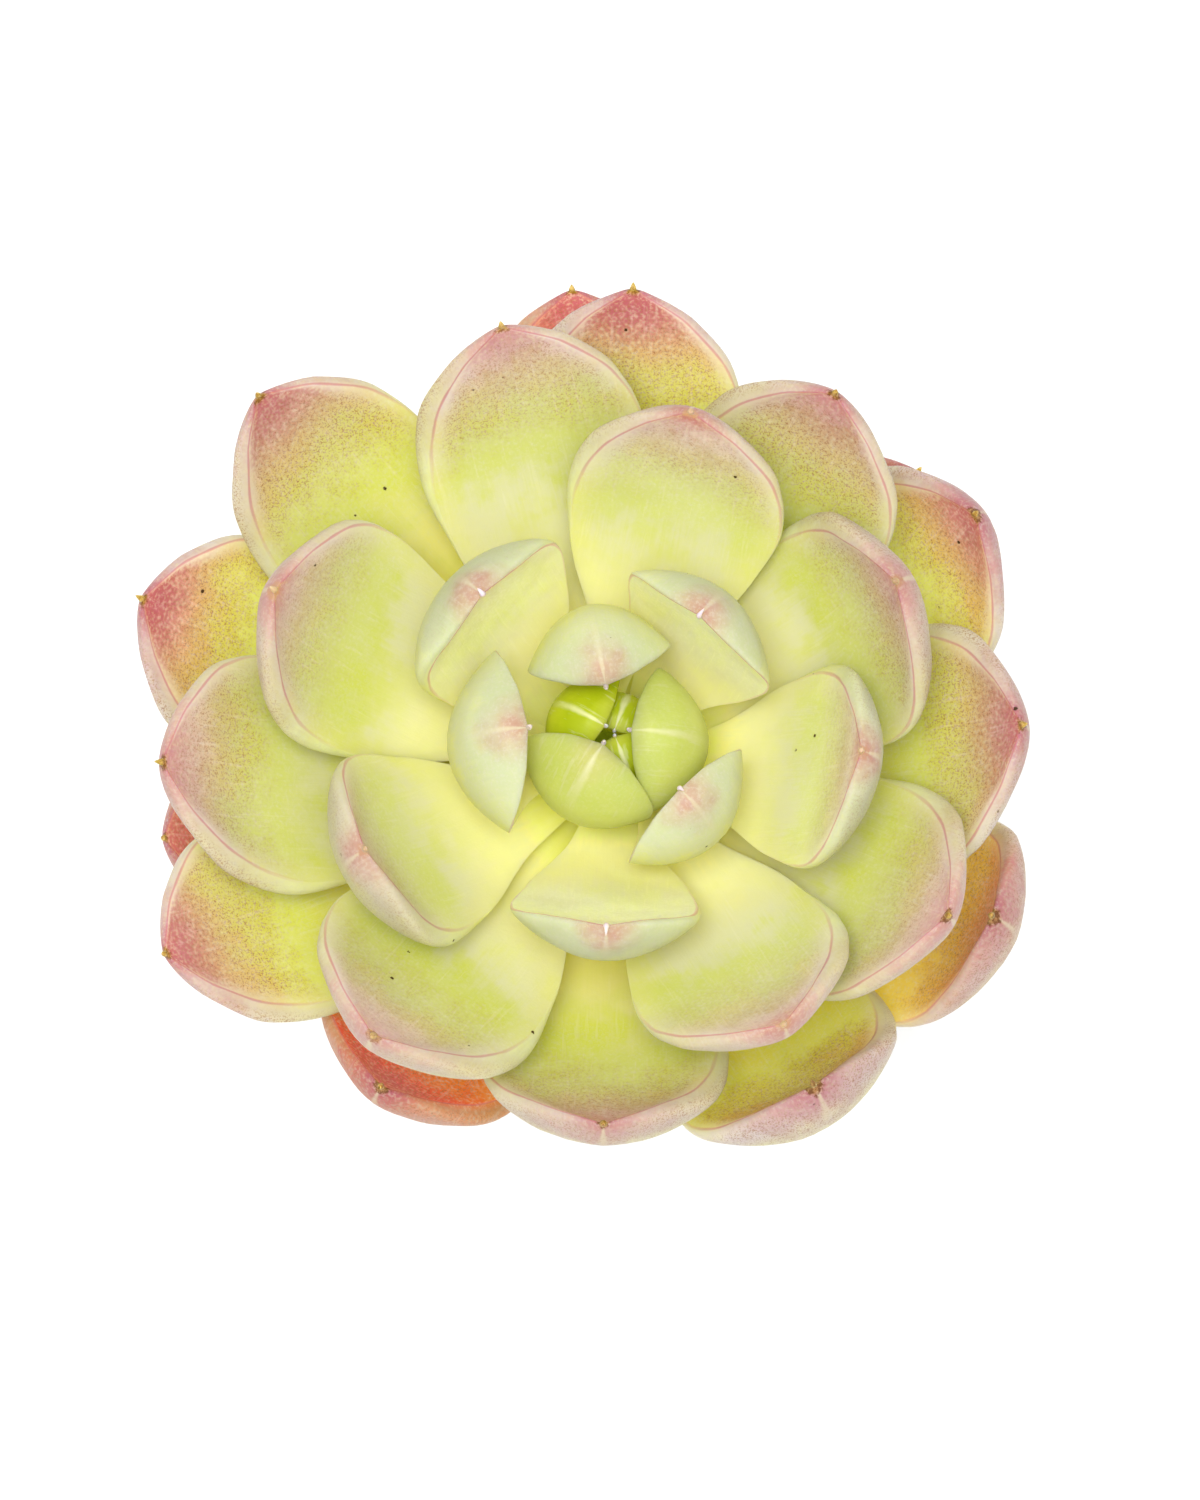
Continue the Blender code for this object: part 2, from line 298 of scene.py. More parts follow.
blade = {
    "segments": 56,           # round the blade
    "rings": 64,              # from base to tip
    "tipRings": 7,            # of those, the ones in the dry spine at the tip
    "fullWidth": 24 * mm,
    "thickness": 6.0 * mm,    # at the full width
    "cup": 2.0 * mm,
    "crown": 0.8 * mm,
    "outline": ((0, 0.24), (0.2, 0.44), (0.45, 0.84), (0.64, 1.0), (0.8, 0.92), (0.92, 0.6), (1, 0)),
    "plumpness": ((0, 0.45), (0.25, 0.72), (0.55, 1.0), (0.78, 0.95), (0.92, 0.62), (1, 0)),
    "curlPower": 1.5,
    "shortening": 0.985,      # the blade's length over the plain solid's; the spine takes the rest
    "bladeEnd": 0.997,        # share of the midrib where the spine begins
    "insetLead": 0.2,         # how far the sharp edge sits inside the leaf's outline, on either side
    "insetTrail": 0.06,
    "lift": 0.35 * mm,
    "roundOff": 0.5 * mm,     # how far the face bends down into the edge
    "slimTip": 0.26,          # how much thinner the underside gets towards the tip
    "point": 0.2,             # how much narrower the blade gets just before the tip
    "youngPoint": 0.1,        # more of that on the young leaves
    "underPoint": 0.4,        # the underside's part in it
    "youngEdge": 0.3,         # how much sharper the edge of the young leaves is
    "nose": 0.3 * mm,         # how far the underside bulges forward below the tip
    "waves": 0.22 * mm,
    "spineLength": 1.1 * mm,
    "spineWidth": 0.38 * mm,
    "crowding": 1.35,         # how much closer the rings stand towards the tip
    "edgeWander": 0.035,
    "rippleShare": 0.35,      # of the small ripples to the broad waves
    "youngBefore": 11,        # leaves before this place are young: sharper edges, hooked spines
    "youngFade": 4,           # and over this many leaves the edge turns full-grown
    "youngHook": (-120, -60), # degrees a spine hooks, least and most
    "grownHook": (-30, 60),
    "spineSpread": (0.7, 1.1),
    "youngSpine": 1.25,       # how much longer a young leaf's spine is
}

outline = smoothCurve(blade["outline"])
plumpness = smoothCurve(blade["plumpness"])
tipHeight = smoothCurve(rosette["tipHeights"])


def stemRadius(height):
    # the stem's radius below its top
    if height <= -rosette["domeHeight"]:
        return stemWidth
    return stemWidth * sqrt(max(0, 1 - (1 + height / rosette["domeHeight"]) ** 2))


def midrib(curl, steps=60):
    shares = (np.arange(steps) + 0.5) / steps
    slopes = radians(curl) * shares ** blade["curlPower"]
    runs = np.concatenate([[0], np.cumsum(np.cos(slopes))]) / steps
    climbs = np.concatenate([[0], np.cumsum(np.sin(slopes))]) / steps
    return runs, climbs, radians(curl) * np.linspace(0, 1, steps + 1) ** blade["curlPower"]


def smooth(value, low, high):
    t = np.clip((value - low) / (high - low), 0, 1)
    return t * t * (3 - 2 * t)


def plainSection(share, u, upper, width):
    # sideways and over the midrib, as on the plain solid
    growth = width / blade["fullWidth"]
    half = width / 2 * outline(share)
    thick = blade["thickness"] * growth * plumpness(share)
    rise = growth * outline(share) * (blade["cup"] * share ** 2 - blade["crown"] * (1 - share) ** 2)
    keel = 2 - 0.6 * share ** 3
    under = thick * np.clip(1 - np.abs(u) ** keel, 0, 1) ** 0.62
    return half * u, rise * u * u - np.where(upper, 0, under)


def fullSection(share, u, depth, upper, width, youth, plump):
    # the same with the sharp edge set in, so that the underside swells out past it
    growth = width / blade["fullWidth"]
    half = width / 2 * outline(share)
    point = (blade["point"] + blade["youngPoint"] * youth) * smooth(share, 0.7, 0.97)
    inset = np.where(u > 0, blade["insetLead"], blade["insetTrail"])
    inset = inset * smooth(share, 0.25, 0.8) * (1 - youth)
    roundShare = np.clip(depth / 0.5, 0, 1)
    upperSide = half * u * (1 - inset * u * u) * (1 - point)
    underPoint = 1 - blade["underPoint"] * point
    lip = 1 - (1 - point) * (1 - inset) / underPoint
    lowerSide = half * np.sign(u) * np.abs(u) ** 0.9 * (1 - lip * (1 - roundShare) ** 2) * underPoint
    rise = plainSection(share, u, True, width)[1]
    under = plump * (rise - plainSection(share, u, upper, width)[1])
    thin = np.clip(1 - np.abs(u) ** 2, 0, 1) ** (blade["youngEdge"] * youth)
    over = rise - under * thin * (1 - blade["slimTip"] * smooth(share, 0.6, 0.95))
    lift = np.where(u > 0, 1, 0.4) * blade["lift"] * u ** 4 - blade["roundOff"] * np.abs(u) ** 6
    lift = lift * growth * smooth(share, 0.2, 0.7)
    return np.where(upper, upperSide, lowerSide), over + lift * outline(share)


def leafFrame(place, drop):
    # where the midrib starts, how long it is and how it leans
    offSpiral, reach, width, curl = rosette["leaves"][place]
    height = -rosette["firstDrop"] - rosette["spacing"] * place - drop
    seat = stemRadius(height) + rosette["gap"]
    runs, climbs, slopes = midrib(curl)
    run, climb = reach * mm - seat, float(tipHeight(place)) * mm - drop - height
    length = hypot(run, climb) / hypot(runs[-1], climbs[-1])
    lean = atan2(climb, run) - atan2(climbs[-1], runs[-1])
    azimuth = radians(rosette["spiralStart"] + rosette["spiralStep"] * place + offSpiral)
    return dict(seat=seat, height=height, length=length, lean=lean, azimuth=azimuth,
                width=width * mm, runs=runs, climbs=climbs, slopes=slopes)


def alongMidrib(spec, share):
    steps = np.linspace(0, 1, len(spec["runs"]))
    x0 = spec["length"] * np.interp(share, steps, spec["runs"])
    z0 = spec["length"] * np.interp(share, steps, spec["climbs"])
    x = spec["seat"] + x0 * cos(spec["lean"]) - z0 * sin(spec["lean"])
    z = spec["height"] + x0 * sin(spec["lean"]) + z0 * cos(spec["lean"])
    return x, z, spec["lean"] + np.interp(share, steps, spec["slopes"])


def leafDrop(place):
    # how far the plain solid of this leaf was let down the stem to clear the leaves above it
    spec = leafFrame(place, 0)
    shares = np.repeat(1 - (1 - np.linspace(0, 1, 10)) ** 1.25, 14)
    u = np.tile([0.85, 0.5, 0, -0.5, -0.85, -1, -0.93, -0.7, -0.37, 0, 0.37, 0.7, 0.93, 1], 10)
    upper = np.tile([True] * 5 + [False] * 9, 10)
    over = plainSection(shares, u, upper, spec["width"])[1]
    x, z, slope = alongMidrib(spec, shares)
    slope = np.where(shares == 0, np.maximum(slope, 0), slope)
    highest = (z + over * np.cos(slope)).max()
    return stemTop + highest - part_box(f"leaf_{place + 1:02d}")[1].z


def growLeaf(place):
    spec = leafFrame(place, max(0, leafDrop(place)))
    spec["length"] *= blade["shortening"]
    growth = spec["width"] / blade["fullWidth"]
    deselect()
    bpy.ops.mesh.primitive_uv_sphere_add(segments=blade["segments"], ring_count=blade["rings"], radius=1)
    leaf = bpy.context.object
    leaf.name = f"leaf{place + 1:02d}"
    ball = meshPoints(leaf)
    level = 1 - np.arccos(np.clip(ball[:, 2], -1, 1)) / pi      # 0 at the base's pole, 1 at the tip's
    turn = np.arctan2(ball[:, 1], ball[:, 0])
    spineStart = 1 - blade["tipRings"] / blade["rings"]
    share = np.clip(level / spineStart, 0, 1)
    share = blade["bladeEnd"] * (1 - (1 - share) ** blade["crowding"])
    pole = np.hypot(ball[:, 0], ball[:, 1]) < 1e-5
    u = np.where(pole, 0, np.cos(turn))
    depth = np.where(pole, 0, np.abs(np.sin(turn)))
    upper = np.sin(turn) > -1e-6

    # the blade: section by section along the midrib
    isYoung = place < blade["youngBefore"]
    youth = float(np.clip((blade["youngBefore"] - place) / blade["youngFade"], 0, 1))
    plump = rosette["heartPlumping"][place] if place < len(rosette["heartPlumping"]) else 1
    side, over = fullSection(share, u, depth, upper, spec["width"], youth, plump)
    side = side * (rosette["heartWidening"][place] if place < len(rosette["heartWidening"]) else 1)
    seed = Vector((place * 7.3, place * 3.1, 0))
    wave = np.array([noise.noise(Vector((s * 5, c * 1.6, 0)) + seed) for s, c in zip(share, u)])
    ripple = np.array([noise.noise(Vector((s * 14, c * 5, 4)) + seed) for s, c in zip(share, u)])
    waveHeight = blade["waves"] * growth * smooth(share, 0, 0.3) * smooth(share, 1, 0.85)
    over = over + (wave + blade["rippleShare"] * ripple) * waveHeight
    edgeWave = np.array([noise.noise(Vector((s * 4, np.sign(c), 9)) + seed) for s, c in zip(share, u)])
    side = side * (1 + blade["edgeWander"] * edgeWave)
    x, z, slope = alongMidrib(spec, share)
    slope = np.where(share < 0.02, np.maximum(slope, 0), slope)
    left = (1 - share) * spec["length"] / mm        # millimetres left to the tip
    nose = blade["nose"] * growth * np.clip(left, 0, 1) * np.exp(-np.clip(left - 1, 0, None) ** 2 / 8)
    nose = np.where(upper, 0, nose * depth ** 0.8)
    x, z = x + nose * np.cos(slope), z + nose * np.sin(slope)

    # the spine: a thin dry point that carries on from the blade and hooks a little
    tipX, tipZ, tipSlope = alongMidrib(spec, blade["bladeEnd"])
    spineShare = np.clip((level - spineStart) / (1 - spineStart), 0, 1)
    isSpine = level > spineStart + 1e-6
    spineGrowth = 0.5 + 0.5 * growth
    hook = radians(random.uniform(*blade["youngHook" if isYoung else "grownHook"]))
    lengthNow = blade["spineLength"] * random.uniform(*blade["spineSpread"]) * spineGrowth
    lengthNow *= blade["youngSpine"] if isYoung else 1
    bent = tipSlope + hook * spineShare
    sx = tipX + lengthNow * spineShare * np.cos(tipSlope + hook * spineShare / 2)
    sz = tipZ + lengthNow * spineShare * np.sin(tipSlope + hook * spineShare / 2)
    thin = blade["spineWidth"] * spineGrowth * (1 - spineShare) ** 0.7
    x, z = np.where(isSpine, sx, x), np.where(isSpine, sz, z)
    slope = np.where(isSpine, bent, slope)
    side = np.where(isSpine, thin * u, side)
    over = np.where(isSpine, thin * np.sin(turn) * (~pole), over)

    outwards = x - over * np.sin(slope)
    height = np.minimum(z + over * np.cos(slope), cadBox[1][2] - stemTop)
    c, s = cos(spec["azimuth"]), sin(spec["azimuth"])
    points = np.stack([stemSpot.x + outwards * c - side * s, stemSpot.y + outwards * s + side * c,
                       stemTop + height], axis=1)
    setPoints(leaf, points)

    # how far each point is from the sharp edge, in millimetres round the section
    ridge = np.zeros(len(points))
    order = np.lexsort((turn, np.round(level, 6)))
    rows = order[~pole[order]].reshape(-1, blade["segments"])
    for row in rows:
        ring = points[row]
        start = int(np.argmax(u[row]))
        row, ring = np.roll(row, -start), np.roll(ring, -start, axis=0)
        walked = np.concatenate([[0], np.cumsum(np.linalg.norm(np.diff(ring, axis=0), axis=1))])
        halfWay = blade["segments"] // 2
        whole = walked[-1] + np.linalg.norm(ring[0] - ring[-1])
        nearest = np.minimum(walked, np.abs(walked - walked[halfWay]))
        ridge[row] = np.minimum(nearest, whole - walked) / mm
    setAttribute(leaf, "ridge", ridge)
    setAttribute(leaf, "along", np.where(isSpine, 1, share / blade["bladeEnd"]))
    setAttribute(leaf, "left", np.where(isSpine, 0, left))
    setAttribute(leaf, "across", np.where(isSpine, 0, np.abs(u)))
    setAttribute(leaf, "upper", np.where(np.abs(np.sin(turn)) < 1e-3, 0.5, np.where(upper, 1, 0)))
    setAttribute(leaf, "spine", np.where(isSpine, np.clip(spineShare * 4, 0, 1), 0))
    setAttribute(leaf, "age", np.full(len(share), place / (len(rosette["leaves"]) - 1)))
    setAttribute(leaf, "tone", np.full(len(share), random.random()))
    setAttribute(leaf, "flush", np.full(len(share), leafTints["flush"][place]))
    setAttribute(leaf, "coral", np.full(len(share), leafTints["coral"].get(place, 0)))
    setAttribute(leaf, "sideways", np.where(isSpine, 0, side) / mm)
    bpy.ops.object.mode_set(mode="EDIT")
    bpy.ops.mesh.select_all(action="SELECT")
    bpy.ops.mesh.normals_make_consistent(inside=False)
    bpy.ops.object.mode_set(mode="OBJECT")
    bpy.ops.object.shade_smooth()
    return leaf


leafTints = {
    # how red each leaf's tip has turned, youngest first
    "flush": (0, 0, 0, 0, 0, 0, 0, 0, 0, 0.15, 0.15, 0.28, 0.25, 0.35, 0.2, 0.3, 0.42, 0.25, 0.4, 0.28,
              0.42, 0.5, 0.4, 0.8, 0.7, 0.78, 0.95, 0.6, 1, 0.75, 1, 0.8, 0.75, 0.7, 0.7),
    # how coral the whole of an old leaf is, by its place
    "coral": {27: 0.05, 30: 1, 31: 0.6, 32: 0.35, 33: 0.5, 34: 0.6},
}

leafColours = {
    # from base to tip, as they look in full light
    "heart": ((0, (206, 208, 30)), (0.6, (188, 197, 36)), (0.88, (155, 168, 12)), (1, (172, 180, 52))),
    "sprout": ((0, (226, 226, 80)), (0.6, (214, 221, 118)), (0.88, (197, 207, 108)), (1, (199, 206, 122))),
    "youngBack": ((0, (241, 234, 102)), (0.4, (249, 244, 118)), (0.62, (249, 250, 142)),
                  (0.76, (234, 240, 174)), (0.87, (217, 226, 178)), (0.95, (211, 219, 172)),
                  (1, (206, 208, 156))),
    "youngFace": ((0, (228, 220, 122)), (0.3, (200, 195, 138)), (0.55, (208, 207, 162)),
                  (0.8, (221, 223, 180)), (1, (236, 232, 200))),
    "grownFace": ((0, (248, 234, 100)), (0.3, (218, 215, 152)), (0.48, (216, 215, 166)),
                  (0.62, (208, 212, 122)), (0.74, (206, 206, 134)), (0.84, (212, 200, 154)),
                  (0.92, (223, 205, 194)), (1, (229, 202, 204))),
    "grownEdge": ((0, (242, 228, 92)), (0.4, (219, 215, 144)), (0.6, (216, 216, 144)),
                  (0.74, (216, 210, 178)), (0.84, (219, 203, 202)), (0.92, (224, 206, 214)),
                  (1, (220, 186, 202))),
    "grownBack": ((0, (249, 240, 118)), (0.4, (252, 252, 172)), (0.62, (247, 251, 190)),
                  (0.74, (230, 226, 182)), (0.84, (218, 206, 168)), (0.92, (216, 196, 178)),
                  (1, (216, 170, 166))),
    "oldFace": ((0, (249, 229, 35)), (0.4, (238, 227, 50)), (0.55, (223, 221, 86)),
                (0.66, (221, 223, 112)), (0.76, (213, 204, 103)), (0.85, (213, 181, 121)),
                (0.93, (221, 176, 155)), (1, (221, 154, 158))),
    "oldBack": ((0, (232, 214, 96)), (0.5, (241, 222, 150)), (0.7, (238, 230, 198)),
                (0.84, (228, 213, 212)), (0.93, (214, 182, 184)), (1, (208, 152, 158))),
    "coralFace": ((0, (240, 199, 63)), (0.6, (242, 164, 79)), (0.76, (231, 129, 71)),
                  (0.9, (222, 88, 82)), (1, (206, 62, 78))),
    "coralBack": ((0, (212, 190, 110)), (0.5, (214, 160, 114)), (0.8, (215, 150, 112)),
                  (0.92, (217, 152, 122)), (1, (208, 104, 96))),
    "blush": (205, 143, 132),
    "tipFlush": (184, 100, 108),
    "tipSpot": (180, 92, 116),
    "speckle": (158, 104, 66),
    "frost": (240, 232, 218),
    "bloom": (234, 236, 210),
    "edgeLine": (194, 108, 126),
    "keel": (236, 232, 196),
    "spineDry": (182, 134, 88),
    "spineDark": (122, 76, 48),
    "spineTan": (206, 156, 130),
    "spineFresh": (232, 200, 188),
    "freshBack": (222, 226, 128),
    "dust": (72, 48, 26),
}


waxySkin = {
    "broad": 110,             # scales of the noises, from the widest
    "blotch": 420,
    "fine": 2600,
    "grain": 5200,
    "gainWithPaintedLight": 0.66,             # share of the skin's colour that is sent back; the painted light below is added on top of it
    "paintedFaceLight": 0.18,         # painted light: more of it on the upper face, which lies in the shade of the leaves above
    "paintedBaseLight": 0.46,         # painted light: more towards the base, where shade falls between the leaves
    "brightest": 0.96,
    "roughness": 0.4,
    "specular": 0.2,
    "flesh": 0.65,            # how much light goes through the flesh
    "fleshDepth": 7 * mm,
    "fleshColours": (1.0, 0.9, 0.2),
    "relief": 0.2 * mm,
    "reliefStrength": 0.25,
}


def leafSkin():
    material, tree, shader = newMaterial("leafSkin")
    place = objectPlace(tree)
    along, left, across = attribute(tree, "along"), attribute(tree, "left"), attribute(tree, "across")
    upper, spine, ridge = attribute(tree, "upper"), attribute(tree, "spine"), attribute(tree, "ridge")
    age, tone, flush = attribute(tree, "age"), attribute(tree, "tone"), attribute(tree, "flush")
    coral, sideways = attribute(tree, "coral"), attribute(tree, "sideways")
    broad = noiseValue(tree, place, waxySkin["broad"], 2)
    blotch = noiseValue(tree, place, waxySkin["blotch"], 3)
    grain = noiseValue(tree, place, waxySkin["grain"], 2, 0.7)
    fine = noiseValue(tree, place, waxySkin["fine"], 3, 0.7)
    brushed = addNode(tree, "ShaderNodeCombineXYZ", {"X": product(tree, sideways, 2.2),
                                                      "Y": product(tree, along, 6.0),
                                                      "Z": product(tree, tone, 90.0)}).outputs[0]
    streak = noiseValue(tree, brushed, 1.0, 3, 0.6)
    shift = plus(tree, centred(tree, broad, 0.22), centred(tree, blotch, 0.16),
                 centred(tree, streak, 0.1))
    drift = plus(tree, along, product(tree, shift, fade(tree, along, 1.05, 0.9)))

    fromTip = maths(tree, "SQRT", plus(tree, product(tree, left, left), product(tree, sideways, sideways)))

    isGrown = fade(tree, age, 0.24, 0.34)
    isOld = fade(tree, age, 0.5, 0.85)
    isHeart = fade(tree, age, 0.09, 0.06)
    isSprout = fade(tree, age, 0.147, 0.12)
    atEdge = product(tree, fade(tree, ridge, 3.6, 0.2), fade(tree, along, 0.25, 0.6))

    face = mixColour(tree, atEdge, ramp(tree, drift, leafColours["grownFace"]),
                     ramp(tree, drift, leafColours["grownEdge"]))
    oldFace = mixColour(tree, product(tree, fade(tree, ridge, 2.4, 0.2), 0.7),
                        ramp(tree, drift, leafColours["oldFace"]),
                        ramp(tree, drift, leafColours["grownEdge"]))
    face = mixColour(tree, isOld, face, oldFace)
    face = mixColour(tree, isGrown, ramp(tree, drift, leafColours["youngFace"]), face)
    face = mixColour(tree, coral, face, ramp(tree, drift, leafColours["coralFace"]))

    back = mixColour(tree, isOld, ramp(tree, drift, leafColours["grownBack"]),
                     ramp(tree, drift, leafColours["oldBack"]))
    young = mixColour(tree, isSprout, ramp(tree, drift, leafColours["youngBack"]),
                      ramp(tree, drift, leafColours["sprout"]))
    back = mixColour(tree, fade(tree, age, 0.3, 0.38), young, back)
    back = mixColour(tree, coral, back, ramp(tree, drift, leafColours["coralBack"]))
    midBack = product(tree, fade(tree, plus(tree, ridge, centred(tree, broad, 4.0)), 3.0, 7.0),
                      fade(tree, drift, 1.0, 0.78), fade(tree, age, 0.28, 0.4), rest(tree, upper),
                      rest(tree, coral))
    back = mixColour(tree, product(tree, midBack, 0.6), back, linear(*leafColours["freshBack"]))
    skin = mixColour(tree, upper, back, face)
    skin = mixColour(tree, isHeart, skin, ramp(tree, drift, leafColours["heart"]))

    # flesh that is fuller of yellow here and there
    mottle = plus(tree, product(tree, broad, 0.45), product(tree, blotch, 0.35), product(tree, streak, 0.2))
    yellowing = product(tree, fade(tree, mottle, 0.42, 0.6), fade(tree, along, 1.0, 0.75),
                        fade(tree, along, 0.1, 0.6), plus(tree, 0.45, product(tree, upper, 0.55)))
    skin = mixColour(tree, yellowing, skin, (0.98, 0.995, 0.6, 1), "MULTIPLY")

    darker = product(tree, fade(tree, fine, 0.48, 0.68), fade(tree, along, 0.35, 0.6), isGrown, 0.4)
    skin = mixColour(tree, darker, skin, (0.86, 0.9, 0.7, 1), "MULTIPLY")

    # a blush round the tips of the young leaves and out along their sharp edges
    away = plus(tree, fromTip, centred(tree, blotch, 3.0))
    hasBlush = product(tree, fade(tree, age, 0.1, 0.16), fade(tree, age, 0.5, 0.38))
    blushSpot = product(tree, fade(tree, away, 4.6, 0.4), 0.9)
    blushEdge = product(tree, fade(tree, ridge, 1.0, 0.1), fade(tree, away, 9.0, 2.0), 0.5)
    blushShare = product(tree, maths(tree, "MAXIMUM", blushSpot, blushEdge), hasBlush)
    skin = mixColour(tree, blushShare, skin, linear(*leafColours["blush"]))

    # tips that have turned red, grainy where the red fades out
    grainy = plus(tree, fromTip, centred(tree, fine, 10.0), centred(tree, blotch, 5.0))
    redTip = product(tree, fade(tree, grainy, 10.5, 1.5), flush, fade(tree, ridge, 0.1, 0.9), upper)
    skin = mixColour(tree, redTip, skin, linear(*leafColours["tipFlush"]))
    spotShare = product(tree, fade(tree, plus(tree, away, product(tree, fine, 2.0)), 6.0, 1.2),
                        maths(tree, "ADD", product(tree, flush, 1.35), 0.0, True), isGrown,
                        plus(tree, 0.5, product(tree, fade(tree, ridge, 2.5, 0.3), 0.4)))
    skin = mixColour(tree, spotShare, skin, linear(*leafColours["tipSpot"]))

    # fine brown speckle where the green turns pink
    tipBand = product(tree, fade(tree, drift, 0.62, 0.8), fade(tree, drift, 1.06, 0.9),
                      fade(tree, ridge, 0.3, 2.0))
    dots = fade(tree, grain, 0.48, 0.64)
    speckle = product(tree, dots, tipBand, fade(tree, flush, -0.1, 0.6), isGrown, 0.9)
    skin = mixColour(tree, speckle, skin, linear(*leafColours["speckle"]))

    # the waxy bloom: pale grains and long faint streaks
    frost = product(tree, fade(tree, fine, 0.44, 0.72), fade(tree, along, 0.3, 0.8),
                    plus(tree, 0.34, product(tree, isHeart, -0.3), product(tree, isSprout, -0.24)))
    skin = mixColour(tree, frost, skin, linear(*leafColours["frost"]))
    rubbed = product(tree, fade(tree, streak, 0.56, 0.7), fade(tree, along, 0.3, 0.55), 0.16)
    skin = mixColour(tree, rubbed, skin, linear(*leafColours["frost"]))

    pale = product(tree, fade(tree, age, 0.5, 0.25), fade(tree, age, 0.11, 0.16),
                   fade(tree, along, 0.4, 0.62), fade(tree, blotch, 0.2, 0.7), 0.3)
    skin = mixColour(tree, pale, skin, linear(*leafColours["bloom"]))

    # a pale keel behind the tip on the back, and the thin pink line along the sharp edge
    keelLine = product(tree, fade(tree, plus(tree, across, centred(tree, blotch, 0.1)), 0.08, 0.01),
                       fade(tree, left, 6.5, 1.0), rest(tree, upper), 0.5)
    skin = mixColour(tree, keelLine, skin, linear(*leafColours["keel"]))
    lineWidth = plus(tree, ridge, centred(tree, blotch, 0.25))
    line = product(tree, fade(tree, lineWidth, 0.26, 0.06), fade(tree, left, 20.0, 6.0),
                   fade(tree, age, 0.12, 0.2), 0.62)
    skin = mixColour(tree, line, skin, linear(*leafColours["edgeLine"]))

    # spines: fresh and pale on the young leaves, a dry scab on the others
    isDry = fade(tree, age, 0.3, 0.32)
    scab = mixColour(tree, fade(tree, fine, 0.42, 0.6), linear(*leafColours["spineDark"]),
                     linear(*leafColours["spineDry"]))
    scab = mixColour(tree, fade(tree, age, 0.56, 0.44), scab, linear(*leafColours["spineTan"]))
    dry = mixColour(tree, isDry, linear(*leafColours["spineFresh"]), scab)
    scabSize = plus(tree, fromTip, centred(tree, fine, 1.6), product(tree, tone, -0.5))
    dryShare = maths(tree, "MAXIMUM", spine, product(tree, fade(tree, scabSize, 0.85, 0.4), isDry))
    skin = mixColour(tree, dryShare, skin, dry)

    # a few specks of soil lying on the leaves
    speckPlace = addNode(tree, "ShaderNodeTexVoronoi", {"Vector": place, "Scale": 640.0})
    speckKind = addNode(tree, "ShaderNodeSeparateColor", {0: speckPlace.outputs["Color"]}).outputs[0]
    speckSize = plus(tree, speckPlace.outputs["Distance"], centred(tree, fine, 0.3))
    dust = product(tree, fade(tree, speckSize, 0.16, 0.1), fade(tree, speckKind, 0.97, 0.973))
    skin = mixColour(tree, dust, skin, linear(*leafColours["dust"]))

    # painted light: the skin's colour is lifted where the leaves shade each other, so that those parts
    # hardly darken. This happens at the base, on the upper faces, on the heart and sprouts, on the faces of
    # the young, old and coral leaves and on the middle of the backs
    gainWithPaintedLight = plus(tree, waxySkin["gainWithPaintedLight"], product(tree, upper, waxySkin["paintedFaceLight"]),
                product(tree, fade(tree, along, 0.6, 0.05), waxySkin["paintedBaseLight"]),
                product(tree, upper, fade(tree, age, 0.38, 0.3), fade(tree, along, 0.45, 0.7), 0.16),
                product(tree, upper, fade(tree, age, 0.315, 0.295), 0.2),
                product(tree, upper, fade(tree, age, 0.64, 0.86), 0.2), product(tree, upper, coral, 0.35),
                product(tree, isHeart, 0.26), product(tree, isSprout, 0.06), product(tree, midBack, 0.12))
    # the colour scaled by this gain, painted light included, then held under the brightest value
    scaled = addNode(tree, "ShaderNodeVectorMath", {0: skin, "Scale": gainWithPaintedLight}, operation="SCALE").outputs[0]
    limit = (waxySkin["brightest"],) * 3
    most = addNode(tree, "ShaderNodeVectorMath", {0: scaled, 1: limit}, operation="MINIMUM").outputs[0]
    tree.links.new(most, shader.inputs["Base Color"])

    waxy = plus(tree, product(tree, blotch, 0.2), waxySkin["roughness"])
    tree.links.new(waxy, shader.inputs["Roughness"])
    shader.inputs["Specular IOR Level"].default_value = waxySkin["specular"]
    shader.inputs["Subsurface Weight"].default_value = waxySkin["flesh"]
    shader.inputs["Subsurface Radius"].default_value = waxySkin["fleshColours"]
    shader.inputs["Subsurface Scale"].default_value = waxySkin["fleshDepth"]
    relief = plus(tree, product(tree, fine, 0.35), product(tree, streak, 0.5), product(tree, blotch, 0.8))
    pores = addNode(tree, "ShaderNodeBump", {"Height": relief, "Strength": waxySkin["reliefStrength"],
                                             "Distance": waxySkin["relief"]})
    tree.links.new(pores.outputs[0], shader.inputs["Normal"])
    return material


skinMaterial = leafSkin()
leaves = []
for leafPlace in range(len(rosette["leaves"])):
    newLeaf = growLeaf(leafPlace)
    useMaterial(newLeaf, skinMaterial)
    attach(newLeaf, "root")
    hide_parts(f"leaf_{leafPlace + 1:02d}")
    leaves.append(newLeaf)
print("leaves grown:", len(leaves))


pot = {
    "height": 58 * mm,
    "rimRadius": 38 * mm,
    "footRadius": 27 * mm,
    "wall": 3.6 * mm,
    "floor": 4 * mm,
    "footWidth": 4 * mm,
    "footHeight": 2 * mm,
    "drainRadius": 6 * mm,
    "filletInside": 5 * mm,
    "segments": 128,
    "glaze": (214, 211, 203),
    "glazePool": (222, 220, 214),
    "clay": (206, 178, 150),
    "darkClay": (186, 156, 128),
    "fleck": (128, 104, 84),
    "glazeLine": (2.6 * mm, 2.1 * mm),    # the glaze ends between these two heights
    "wornLip": (56.8 * mm, 57.8 * mm),    # and gets thin between these
    "relief": 0.6 * mm,
}


def potOuter(height):
    return pot["footRadius"] + (pot["rimRadius"] - pot["footRadius"]) * height / pot["height"]


